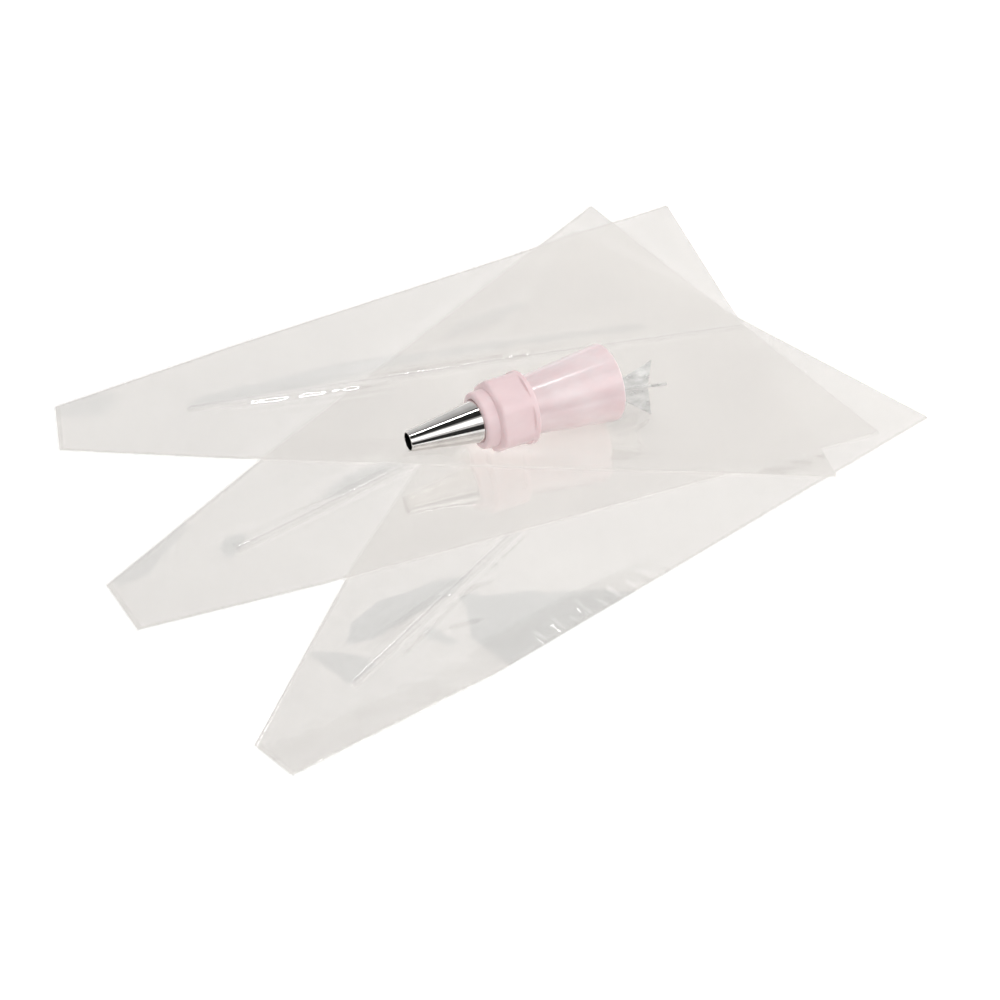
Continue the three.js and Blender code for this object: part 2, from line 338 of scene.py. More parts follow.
@dataclass(frozen=True)
class ClearFilm:
    """Thin glossy film with a faint painted glow. Listed patches get a painted dark reflection: darker and
    cooler, with a crisp rim.
    """

    name: str = "clear_film"
    haze: tuple[float, float, float] = (0.55, 0.532, 0.507)
    haze_shade: tuple[float, float, float] = (0.52, 0.502, 0.48)
    # Colour of the painted dark reflection in the patches.
    dark_reflection: tuple[float, float, float] = (0.35, 0.355, 0.345)
    opacity: float = 0.26
    index: float = 2.25
    # Strength of the film's painted glow.
    glow: float = 0.10
    rim_wander: float = 1.0
    rim_soft: float = 0.3

    def painted_reflection(self, nodes: Nodes) -> bpy.types.NodeSocket:
        """How much painted dark reflection a point gets: a crisp step of its depth in a patch, made uneven by
        noise.

        Args:
            nodes: the material's tree.

        Returns:
            The share, from 0 to 1.
        """
        depth = nodes.add("ShaderNodeAttribute", attribute_name="reflection_depth")
        strength = nodes.add("ShaderNodeAttribute", attribute_name="reflection_strength")
        wander = nodes.spread(nodes.noise((90.0, 90.0, 90.0), 2.0), -self.rim_wander, self.rim_wander)
        uneven = nodes.add("ShaderNodeMath", operation="ADD")
        nodes.link(depth.outputs["Fac"], uneven.inputs[0])
        nodes.link(wander, uneven.inputs[1])
        step = nodes.add("ShaderNodeMapRange", From_Min=-self.rim_soft, From_Max=self.rim_soft)
        nodes.link(uneven.outputs["Value"], step.inputs["Value"])
        share = nodes.add("ShaderNodeMath", operation="MULTIPLY")
        nodes.link(step.outputs["Result"], share.inputs[0])
        nodes.link(strength.outputs["Fac"], share.inputs[1])
        return share.outputs["Value"]

    def build(self) -> bpy.types.Material:
        """Makes the material.

        Returns:
            The new material.
        """
        nodes = Nodes(self.name)
        nodes.set(Alpha=self.opacity, IOR=self.index, Specular_IOR_Level=1.0)
        # Painted glow: the film gives off a faint light of its own, standing in for light from below.
        nodes.set(Emission_Color=PAINTED_GLOW_COLOUR, Emission_Strength=self.glow)
        clouds = nodes.spread(nodes.noise((14.0, 14.0, 14.0), 2.0), 0.0, 1.0)
        film_haze = nodes.blend(clouds, self.haze, self.haze_shade)
        # Painted dark reflection: the patches turn the film's colour darker and cooler.
        shown = nodes.blend(self.painted_reflection(nodes), film_haze, self.dark_reflection)
        nodes.link(shown, nodes.shader.inputs["Base Color"])
        streaks = nodes.noise((40.0, 90.0, 60.0), 4.0)
        nodes.link(nodes.spread(streaks, 0.05, 0.12), nodes.shader.inputs["Roughness"])
        nodes.bump(nodes.noise((110.0, 110.0, 110.0), 2.0), 0.0004, 0.12)
        return nodes.material


@dataclass(frozen=True)
class WeldedFilm:
    """Film fused by heat, with a fine grain and a faint painted glow. Its ridges and weld dots get a painted
    highlight, whiter, and a line beside each ridge a painted shade, darker.
    """

    name: str = "welded_film"
    # Colour of the painted highlight on the ridges and weld dots.
    painted_light: tuple[float, float, float] = (0.86, 0.855, 0.845)
    # Colour of the painted shade line beside the ridges.
    shade_line_colour: tuple[float, float, float] = (0.08, 0.08, 0.08)
    flat: tuple[float, float, float] = (0.55, 0.535, 0.515)
    grain_shade: tuple[float, float, float] = (0.52, 0.505, 0.485)
    opacity: float = 0.2
    index: float = 2.0
    # Strength of the weld's painted glow.
    glow: float = 0.11

    def build(self) -> bpy.types.Material:
        """Makes the material.

        Returns:
            The new material.
        """
        nodes = Nodes(self.name)
        nodes.set(Alpha=self.opacity, IOR=self.index, Specular_IOR_Level=1.0)
        # Painted glow: the weld gives off a faint light of its own.
        nodes.set(Emission_Color=PAINTED_GLOW_COLOUR, Emission_Strength=self.glow)
        # The ridge attribute carries painted light: above 0 a painted highlight, below 0 a painted shade
        # line.
        relief = nodes.add("ShaderNodeAttribute", attribute_name="ridge")
        shade_line_share = nodes.add("ShaderNodeMath", operation="MULTIPLY", use_clamp=True)
        nodes.link(relief.outputs["Fac"], shade_line_share.inputs[0])
        shade_line_share.inputs[1].default_value = -1.0
        grain = nodes.noise((900.0, 900.0, 900.0), 3.0)
        plain = nodes.blend(nodes.spread(grain, 0.0, 1.0), self.flat, self.grain_shade)
        with_shade_line = nodes.blend(shade_line_share.outputs["Value"], plain, self.shade_line_colour)
        colour = nodes.blend(relief.outputs["Fac"], with_shade_line, self.painted_light)
        nodes.link(colour, nodes.shader.inputs["Base Color"])
        nodes.link(nodes.spread(grain, 0.10, 0.20), nodes.shader.inputs["Roughness"])
        nodes.bump(grain, 0.00005, 0.3)
        return nodes.material


@dataclass(frozen=True)
class PolishedSteel:
    """Spun and polished steel: faint rings round the axis, small smudges, and a painted shade that darkens
    the inside of the nozzle.
    """

    name: str = "polished_steel"
    bright: tuple[float, float, float] = (0.76, 0.74, 0.72)
    worn: tuple[float, float, float] = (0.62, 0.60, 0.585)
    # Colour of the painted shade inside the nozzle.
    bore_shade: tuple[float, float, float] = (0.06, 0.055, 0.05)

    def build(self) -> bpy.types.Material:
        """Makes the material.

        Returns:
            The new material.
        """
        nodes = Nodes(self.name)
        nodes.set(Metallic=1.0)
        smudges = nodes.noise((160.0, 160.0, 160.0), 5.0)
        polished = nodes.blend(nodes.spread(smudges, 0.0, 1.0), self.bright, self.worn)
        # Painted shade: the inner surface turns almost black.
        inside = nodes.add("ShaderNodeAttribute", attribute_name="bore_shade")
        colour = nodes.blend(inside.outputs["Fac"], polished, self.bore_shade)
        nodes.link(colour, nodes.shader.inputs["Base Color"])
        nodes.link(nodes.spread(smudges, 0.05, 0.11), nodes.shader.inputs["Roughness"])
        nodes.bump(nodes.noise((2600.0, 24.0, 24.0), 3.0), 0.00002, 0.25)
        return nodes.material


@dataclass(frozen=True)
class PinkPlastic:
    """Pale pink translucent polyethylene, from satin to glossy."""

    name: str
    pale: tuple[float, float, float]
    deep: tuple[float, float, float]
    roughness: tuple[float, float]
    coat: float
    coat_roughness: float
    glow: float

    def build(self) -> bpy.types.Material:
        """Makes the material.

        Returns:
            The new material.
        """
        nodes = Nodes(self.name)
        nodes.set(
            Metallic=0.0,
            IOR=1.5,
            Subsurface_Weight=self.glow,
            Subsurface_Radius=(1.0, 0.55, 0.55),
            Subsurface_Scale=0.004,
            Coat_Weight=self.coat,
            Coat_Roughness=self.coat_roughness,
        )
        flow = nodes.spread(nodes.noise((60.0, 110.0, 110.0), 3.0), 0.0, 1.0)
        nodes.link(nodes.blend(flow, self.pale, self.deep), nodes.shader.inputs["Base Color"])
        grain = nodes.noise((700.0, 700.0, 700.0), 3.0)
        nodes.link(nodes.spread(grain, *self.roughness), nodes.shader.inputs["Roughness"])
        nodes.bump(grain, 0.00004, 0.25)
        return nodes.material


@dataclass(frozen=True)
class ClearPlastic:
    """Clear glossy moulding with flow lines that shape its roughness and bumps, and a random grey and white
    mottle of painted reflection.
    """

    name: str = "clear_moulding"
    # The near white and the dark grey of the painted reflection mottle.
    pale: tuple[float, float, float] = (0.95, 0.95, 0.93)
    shade: tuple[float, float, float] = (0.42, 0.43, 0.42)
    opacity: float = 0.45
    index: float = 1.6

    def build(self) -> bpy.types.Material:
        """Makes the material.

        Returns:
            The new material.
        """
        nodes = Nodes(self.name)
        nodes.set(Alpha=self.opacity, IOR=self.index, Specular_IOR_Level=1.0, Coat_Weight=1.0)
        nodes.set(Coat_Roughness=0.03, Coat_IOR=1.6)
        flow = nodes.noise((120.0, 210.0, 210.0), 3.0)
        # Painted reflection: flow noise mixes the dark grey and near white into the colour.
        shown = nodes.blend(nodes.spread(flow, 0.0, 1.0), self.shade, self.pale)
        nodes.link(shown, nodes.shader.inputs["Base Color"])
        nodes.link(nodes.spread(flow, 0.04, 0.12), nodes.shader.inputs["Roughness"])
        nodes.bump(flow, 0.0015, 0.8)
        return nodes.material


@dataclass
class Finishes:
    """Every material of the set, made once."""

    film: bpy.types.Material = field(default_factory=lambda: ClearFilm().build())
    weld: bpy.types.Material = field(default_factory=lambda: WeldedFilm().build())
    steel: bpy.types.Material = field(default_factory=lambda: PolishedSteel().build())
    nut: bpy.types.Material = field(
        default_factory=lambda: PinkPlastic(
            "satin_pink", (0.755, 0.605, 0.615), (0.705, 0.545, 0.56), (0.34, 0.44), 0.10, 0.2, 0.35
        ).build()
    )
    base: bpy.types.Material = field(
        default_factory=lambda: PinkPlastic(
            "gloss_pink", (0.75, 0.65, 0.655), (0.67, 0.545, 0.555), (0.18, 0.26), 0.6, 0.14, 0.45
        ).build()
    )
    clear: bpy.types.Material = field(default_factory=lambda: ClearPlastic().build())


def dress(
    piece: bpy.types.Object,
    material: bpy.types.Material,
    body: str,
    node: str,
    casts_shadow: bool = False,
) -> None:
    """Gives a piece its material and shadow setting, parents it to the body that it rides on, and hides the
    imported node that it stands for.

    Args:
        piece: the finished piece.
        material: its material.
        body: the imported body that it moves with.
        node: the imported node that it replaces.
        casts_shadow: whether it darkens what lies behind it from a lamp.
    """
    piece.data.materials.append(material)
    piece.visible_shadow = casts_shadow
    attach(piece, body)
    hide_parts(node)
    LOG.info("%s: %d faces, rides on %s", piece.name, len(piece.data.polygons), body)


# ---------------------------------------------------------------- bags


@dataclass(frozen=True)
class Puff:
    """A soft bulge of trapped air, as an ellipse in a bag's own millimetres.

    along and left give its middle, measured from the middle of the tip, and turn_deg its heading.
    """

    along: float
    left: float
    length: float
    width: float
    height: float
    turn_deg: float = 0.0

    def rise(self, along: np.ndarray, left: np.ndarray) -> np.ndarray:
        """The height it adds: 1 less q, squared, with q the squared elliptic distance, and 0 outside.

        Args:
            along: distances along the bag, in millimetres.
            left: distances to its left, in millimetres.

        Returns:
            The heights, in millimetres.
        """
        turn = math.radians(self.turn_deg)
        forward = (along - self.along) * math.cos(turn) + (left - self.left) * math.sin(turn)
        aside = (left - self.left) * math.cos(turn) - (along - self.along) * math.sin(turn)
        reach = np.square(forward / self.length) + np.square(aside / self.width)
        return self.height * np.square(np.clip(1.0 - reach, 0.0, 1.0))


@dataclass(frozen=True)
class DarkReflectionPatch:
    """A patch of a bag's films that gets painted dark reflection.

    It is what lies to the left of every line of its outline, whose points are walked anticlockwise,
    so a hollow in the outline cuts the patch short. The points are distances along the bag from
    its tip and to its left, in millimetres.
    """

    outline: tuple[tuple[float, float], ...]
    strength: float = 1.0

    def depth(self, along: np.ndarray, left: np.ndarray) -> np.ndarray:
        """A point's least distance to the left of the outline's lines, below 0 outside the patch.

        Args:
            along: distances along the bag, in millimetres.
            left: distances to its left, in millimetres.

        Returns:
            The distances, in millimetres.
        """
        points = np.array(self.outline)
        steps = np.roll(points, -1, axis=0) - points
        inward = np.stack([-steps[:, 1], steps[:, 0]], axis=-1) / np.hypot(steps[:, 0], steps[:, 1])[:, None]
        offset = np.sum(points * inward, axis=-1)
        return np.min(along[..., None] * inward[:, 0] + left[..., None] * inward[:, 1] - offset, axis=-1)


@dataclass(frozen=True)
class Crease:
    """A narrow ridge in the front film along a straight line, in a bag's own millimetres."""

    start: tuple[float, float]
    end: tuple[float, float]
    width: float
    height: float

    def rise(self, along: np.ndarray, left: np.ndarray) -> np.ndarray:
        """The height it adds: a bell across the line, faded in and out over END_SHARE of its length.

        Args:
            along: distances along the bag, in millimetres.
            left: distances to its left, in millimetres.

        Returns:
            The heights, in millimetres.
        """
        start = np.array(self.start)
        step = np.array(self.end) - start
        length = float(np.hypot(*step))
        forward = ((along - start[0]) * step[0] + (left - start[1]) * step[1]) / length
        aside = ((left - start[1]) * step[0] - (along - start[0]) * step[1]) / length
        ramp = END_SHARE * length
        fade = smooth_step(forward, 0.0, ramp) * smooth_step(length - forward, 0.0, ramp)
        return self.height * fade * bell(aside, self.width)


class Film(Enum):
    """The films of one bag, from the table up: name, level, and share of the front film's bulge."""

    BACK = ("back_film", 0, 0.04)
    INNER = ("inner_film", 1, 0.5)
    FRONT = ("front_film", 2, 1.0)


@dataclass
class Bag:
    """One flat bag: three films welded along both sides and the tip, and a centre seam.

    Lengths are in metres, and those of its puffs, patches and creases in millimetres. Its own
    coordinates run along the bag from the middle of the tip, and to the left of that line.
    """

    name: str
    below: list["Bag"]
    puffs: tuple[Puff, ...]
    patches: tuple[DarkReflectionPatch, ...]
    creases: tuple[Crease, ...]
    seed: int
    seam_from: float = 45.0 * MM
    dot_height: float = 0.02 * MM
    film_thickness: float = 0.05 * MM
    film_pitch: float = 0.11 * MM
    edge_ramp: float = 7.0 * MM
    seal_width: float = 2.0 * MM
    seal_thickness: float = 0.30 * MM
    seam_half_width: float = 2.0 * MM
    tip_seal_depth: float = 2.5 * MM
    weld_shell: float = 0.12 * MM
    pressed_height: float = 0.03 * MM
    ripple_height: float = 0.08 * MM
    ridge_from_middle: float = 1.45 * MM
    ridge_height: float = 0.06 * MM
    ridge_width: float = 0.24 * MM
    # Where the painted shade line lies beside each ridge, and its width.
    shade_line_from_middle: float = 0.85 * MM
    shade_line_width: float = 0.32 * MM
    dot_spacing: float = 4.0 * MM
    dot_width: float = 0.6 * MM
    wave_count: int = 7
    edge_fade: float = 14.0 * MM
    pinch: float = 0.75
    pinch_width: float = 3.0 * MM
    headroom: float = 0.06 * MM
    seam_lift: float = 0.02 * MM
    film_side_inset: float = 0.8 * MM
    film_tip_inset: float = 0.6 * MM
    spread_evenly: float = 0.45
    rows: int = 300
    columns: int = 100

    def __post_init__(self) -> None:
        """Reads the bag's axis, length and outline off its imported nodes."""
        seam = self.corners("centre_seam")
        centre = seam.mean(axis=0)
        heading = np.linalg.svd(seam - centre, full_matrices=False)[2][0]
        self.ahead = heading * math.copysign(1.0, heading[0])
        self.aside = np.array([-self.ahead[1], self.ahead[0]])
        seals = np.concatenate([self.corners("left_seal"), self.corners("right_seal")])
        forward = seals @ self.ahead
        self.tip = centre + self.ahead * (forward.min() - centre @ self.ahead)
        self.length = float(forward.max() - forward.min())
        along, left = self.own(seals[:, 0], seals[:, 1])
        self.stations, self.half_widths = self.outer_hull(along, np.abs(left))
        waves = np.random.default_rng(self.seed)
        self.wave_heading = waves.uniform(0.0, math.pi, self.wave_count)
        self.wave_length = waves.uniform(26.0, 75.0, self.wave_count) * MM
        self.wave_phase = waves.uniform(0.0, 2.0 * math.pi, self.wave_count)

    def corners(self, part: str) -> np.ndarray:
        """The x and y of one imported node's vertices.

        Args:
            part: the node's name without the bag's.

        Returns:
            One row of x and y for each vertex.
        """
        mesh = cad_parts[f"{self.name}_{part}"].data
        points = np.empty(3 * len(mesh.vertices))
        mesh.vertices.foreach_get("co", points)
        return points.reshape(-1, 3)[:, :2]

    @staticmethod
    def outer_hull(along: np.ndarray, reach: np.ndarray) -> tuple[np.ndarray, np.ndarray]:
        """The corners of the outline's outer side, from the tip to the open end.

        It walks the farthest points along the bag and drops each one that lies on or inside the
        line between its neighbours.

        Args:
            along: distances along the bag.
            reach: distances from its middle line.

        Returns:
            The corners' distances along the bag and their half widths.
        """
        corners: list[np.ndarray] = []
        rounded = np.round(along, 4)
        for station in np.unique(rounded):
            corner = np.array([station, reach[rounded == station].max()])
            while len(corners) > 1:
                back, here = corners[-1] - corners[-2], corner - corners[-2]
                if back[0] * here[1] - back[1] * here[0] < -1e-8:
                    break
                corners.pop()
            corners.append(corner)
        hull = np.array(corners)
        return hull[:, 0], hull[:, 1]

    def own(self, x: np.ndarray, y: np.ndarray) -> tuple[np.ndarray, np.ndarray]:
        """Turns frame x and y into distances along the bag and to its left.

        Args:
            x: the places along the frame's X.
            y: the places along its Y.

        Returns:
            Distances along the bag and to its left.
        """
        along = (x - self.tip[0]) * self.ahead[0] + (y - self.tip[1]) * self.ahead[1]
        left = (x - self.tip[0]) * self.aside[0] + (y - self.tip[1]) * self.aside[1]
        return along, left

    def world(self, along: np.ndarray, left: np.ndarray) -> tuple[np.ndarray, np.ndarray]:
        """Turns distances along and to the left into frame x and y.

        Args:
            along: distances along the bag.
            left: distances to its left.

        Returns:
            The places along the frame's X and Y.
        """
        x = self.tip[0] + along * self.ahead[0] + left * self.aside[0]
        y = self.tip[1] + along * self.ahead[1] + left * self.aside[1]
        return x, y

    def half_width(self, along: np.ndarray) -> np.ndarray:
        """Half the bag's width at distances from the tip."""
        return np.interp(along, self.stations, self.half_widths)

    def depth(self, along: np.ndarray, left: np.ndarray) -> np.ndarray:
        """The distance inside the outline, below 0 outside it: the least one to any edge line.

        Args:
            along: distances along the bag.
            left: distances to its left.

        Returns:
            The distances.
        """
        inside = np.minimum(along, self.length - along)
        slopes = np.diff(self.half_widths) / np.diff(self.stations)
        for station, width, slope in zip(self.stations[:-1], self.half_widths[:-1], slopes):
            edge = width + slope * (along - station) - np.abs(left)
            inside = np.minimum(inside, edge / math.hypot(1.0, slope))
        return inside

    def ripple(self, along: np.ndarray, left: np.ndarray) -> np.ndarray:
        """Slow ripples, from -1 to 1: the mean of some sines with seeded headings and lengths.

        Args:
            along: distances along the bag.
            left: distances to its left.

        Returns:
            The ripples' share of their full height.
        """
        total = np.zeros_like(along)
        for heading, length, phase in zip(self.wave_heading, self.wave_length, self.wave_phase):
            forward = along * math.cos(heading) + left * math.sin(heading)
            total += np.sin(2.0 * math.pi * forward / length + phase)
        return total / self.wave_count

    def bulge(self, along: np.ndarray, left: np.ndarray) -> np.ndarray:
        """How far the front film stands off the back film: ripples, puffs and creases.

        Ripples and puffs fade to nothing well inside the edges and are pinched along the seam.
        Creases run on until they are close to an edge, and fast ripples make them uneven.

        Args:
            along: distances along the bag.
            left: distances to its left.

        Returns:
            The heights.
        """
        depth = self.depth(along, left)
        rise = self.ripple_height * (1.0 + self.ripple(along, left))
        for puff in self.puffs:
            rise = rise + MM * puff.rise(along / MM, left / MM)
        on_seam = smooth_step(along, self.seam_from - 6.0 * MM, self.seam_from + 2.0 * MM)
        pinched = 1.0 - self.pinch * on_seam * bell(left, self.pinch_width)
        rise = rise * smooth_step(depth, 1.0 * MM, self.edge_fade) * pinched
        uneven = smooth_step(depth, 0.2 * MM, 2.5 * MM) * (1.0 + 0.5 * self.ripple(7.0 * along, 7.0 * left))
        for crease in self.creases:
            rise = rise + MM * uneven * crease.rise(along / MM, left / MM)
        return rise

    def base(self, x: np.ndarray, y: np.ndarray) -> np.ndarray:
        """The height of what lies below, which the bag drapes over within a narrow ramp.

        Args:
            x: the places along the frame's X.
            y: the places along its Y.

        Returns:
            The heights.
        """
        height = np.zeros_like(x)
        for bag in self.below:
            along, left = bag.own(x, y)
            cover = smooth_step(bag.depth(along, left), -bag.edge_ramp, 0.0)
            height = height + cover * (bag.thickness() + bag.bulge(along, left))
        return height

    def thickness(self) -> float:
        """The bag's height where it lies flat, with a little room above."""
        return self.seal_thickness + self.headroom

    def sheet_grid(self, side_inset: float, tip_inset: float) -> tuple[np.ndarray, np.ndarray]:
        """A grid over the bag, closer along its middle, where the seam and its folds lie.

        Args:
            side_inset: how far the grid stays inside the side edges.
            tip_inset: how far it stays behind the tip.

        Returns:
            Distances along the bag and to its left, each rows by columns.
        """
        along = np.linspace(tip_inset, self.length, self.rows)[:, None]
        even = np.linspace(-1.0, 1.0, self.columns)[None, :]
        across = even * (self.spread_evenly + (1.0 - self.spread_evenly) * even * even)
        left = across * (self.half_width(along) - side_inset)
        return along + np.zeros_like(left), left

    def film_height(self, film: Film, along: np.ndarray, left: np.ndarray) -> np.ndarray:
        """The middle height of one film: what lies below, its place in the bag and its bulge.

        Args:
            film: which of the bag's films.
            along: distances along the bag.
            left: distances to its left.

        Returns:
            The heights.
        """
        level, share = film.value[1:]
        x, y = self.world(along, left)
        rest = 0.5 * self.seal_thickness + (level - 1.0) * self.film_pitch
        return self.base(x, y) + rest + share * self.bulge(along, left)

    def painted_reflection(self, along: np.ndarray, left: np.ndarray) -> tuple[np.ndarray, np.ndarray]:
        """How deep each point lies in the nearest patch of painted dark reflection, and that patch's
        strength.

        Args:
            along: distances along the bag.
            left: distances to its left.

        Returns:
            The depths, in millimetres, and the strengths, from 0 to 1.
        """
        depths = np.stack([patch.depth(along / MM, left / MM) for patch in self.patches])
        nearest = np.argmax(depths, axis=0)
        strengths = np.array([patch.strength for patch in self.patches])[nearest]
        return depths.max(axis=0), strengths

    def build_film(self, film: Film, finishes: Finishes) -> None:
        """Makes one film as a thin closed sheet that drapes over what lies below.

        Args:
            film: which of the bag's films.
            finishes: the set's materials.
        """
        node = f"{self.name}_{film.value[0]}"
        along, left = self.sheet_grid(self.film_side_inset, self.film_tip_inset)
        x, y = self.world(along, left)
        middle = self.film_height(film, along, left)
        half = 0.5 * self.film_thickness
        top = np.stack([x, y, middle + half], axis=-1)
        bottom = np.stack([x, y, middle - half], axis=-1)
        piece = closed_sheet(f"{node}_sheet", top, bottom)
        # Marks where the painted dark reflection patches lie on this film.
        for attribute, values in zip(("reflection_depth", "reflection_strength"), self.painted_reflection(along, left)):
            set_point_attribute(piece, attribute, np.concatenate([values.ravel(), values.ravel()]))
        dress(piece, finishes.film, self.name, node)

    def strip(self, name: str, along: np.ndarray, left: np.ndarray, relief: np.ndarray) -> bpy.types.Object:
        """A thin shell over a grid: its relief stands on top of the seal's thickness.

        Args:
            name: the piece's name.
            along: rows by columns distances along the bag.
            left: the distances to its left.
            relief: how far the strip's top stands above the seal's flat top.

        Returns:
            The new object.
        """
        x, y = self.world(along, left)
        floor = self.base(x, y)
        top = np.stack([x, y, floor + self.seal_thickness + relief], axis=-1)
        bottom = top - np.array([0.0, 0.0, self.weld_shell])
        return closed_sheet(name, top, bottom)

    def build_side_seal(self, side: int, finishes: Finishes) -> None:
        """Makes one side weld: a strip along the edge, whose top is a cosine of three half waves.

        Args:
            side: 1 for the left edge, -1 for the right one.
            finishes: the set's materials.
        """
        part = "left_seal" if side > 0 else "right_seal"
        along = np.linspace(0.0, self.length, 301)[:, None]
        across = np.linspace(-1.0, 0.0, 11)[None, :]
        inward = across if side > 0 else -across[:, ::-1]
        left = side * self.half_width(along) + inward * self.seal_width
        pressed = np.cos(3.0 * math.pi * inward)
        relief = self.pressed_height * pressed + np.zeros_like(left)
        node = f"{self.name}_{part}"
        piece = self.strip(f"{node}_strip", along + np.zeros_like(left), left, relief)
        dress(piece, finishes.weld, self.name, node)

    def build_tip_seal(self, finishes: Finishes) -> None:
        """Makes the tip weld: a strip across the cut end, with the side welds' cosine top.

        Args:
            finishes: the set's materials.
        """
        along = np.linspace(0.0, self.tip_seal_depth, 13)[:, None]
        across = np.linspace(-1.0, 1.0, 41)[None, :]
        left = across * (self.half_width(along) - 1.02 * self.seal_width)
        pressed = np.cos(3.0 * math.pi * along / self.tip_seal_depth)
        relief = self.pressed_height * pressed + np.zeros_like(left)
        node = f"{self.name}_tip_seal"
        piece = self.strip(f"{node}_strip", along + np.zeros_like(left), left, relief)
        dress(piece, finishes.weld, self.name, node)

    def build_centre_seam(self, finishes: Finishes) -> None:
        """Makes the centre seam: a strip with a round start, two fine ridges and weld dots.

        The ridges follow a hairpin round the seam's line, each a bell across it. The ridges and dots get a
        painted highlight, and a line just inside each ridge a painted shade, where the strip has no dip. The
        dots are bells at even steps along the line.

        Args:
            finishes: the set's materials.
        """
        radius = self.seam_half_width
        start = self.seam_from + radius
        even = np.linspace(0.0, 1.0, 620)[:, None]
        along = self.seam_from + 0.01 * MM + (self.length - self.seam_from) * even**1.25
        along = np.minimum(along, self.length)
        lead = np.clip((start - along) / radius, 0.0, 1.0)
        reach = radius * np.sqrt(np.maximum(1.0 - lead * lead, 1e-4))
        left = np.linspace(-1.0, 1.0, 25)[None, :] * reach
        along = along + np.zeros_like(left)
        behind = np.where(along < start, np.hypot(along - start, left), np.abs(left))
        near_side = np.where(left > 0.0, 1.0, 0.45)
        ridge = bell(behind - self.ridge_from_middle, self.ridge_width)
        from_dot = np.mod(along - start, self.dot_spacing) - 0.5 * self.dot_spacing
        dot = bell(np.hypot(from_dot, left), self.dot_width) * (along > start)
        x, y = self.world(along, left)
        middle = self.film_height(Film.FRONT, along, left)
        relief = self.ridge_height * near_side * ridge + self.dot_height * dot
        top = middle + self.film_thickness + self.seam_lift + relief
        bottom = middle - 0.5 * self.film_pitch
        node = f"{self.name}_centre_seam"
        piece = closed_sheet(
            f"{node}_strip",
            np.stack([x, y, top], axis=-1),
            np.stack([x, y, bottom], axis=-1),
        )
        # Painted light along the seam: a highlight on the ridges and dots, and a shade line inside each
        # ridge.
        shade_line_share = bell(behind - self.shade_line_from_middle, self.shade_line_width)
        painted_light = np.clip(near_side * (ridge - shade_line_share) + 0.5 * dot, -1.0, 1.0)
        set_point_attribute(piece, "ridge", np.concatenate([painted_light.ravel(), painted_light.ravel()]))
        dress(piece, finishes.weld, self.name, node)

    def build(self, finishes: Finishes) -> None:
        """Makes every piece of the bag.

        Args:
            finishes: the set's materials.
        """
        for film in Film:
            self.build_film(film, finishes)
        for side in (1, -1):
            self.build_side_seal(side, finishes)
        self.build_tip_seal(finishes)
        self.build_centre_seam(finishes)


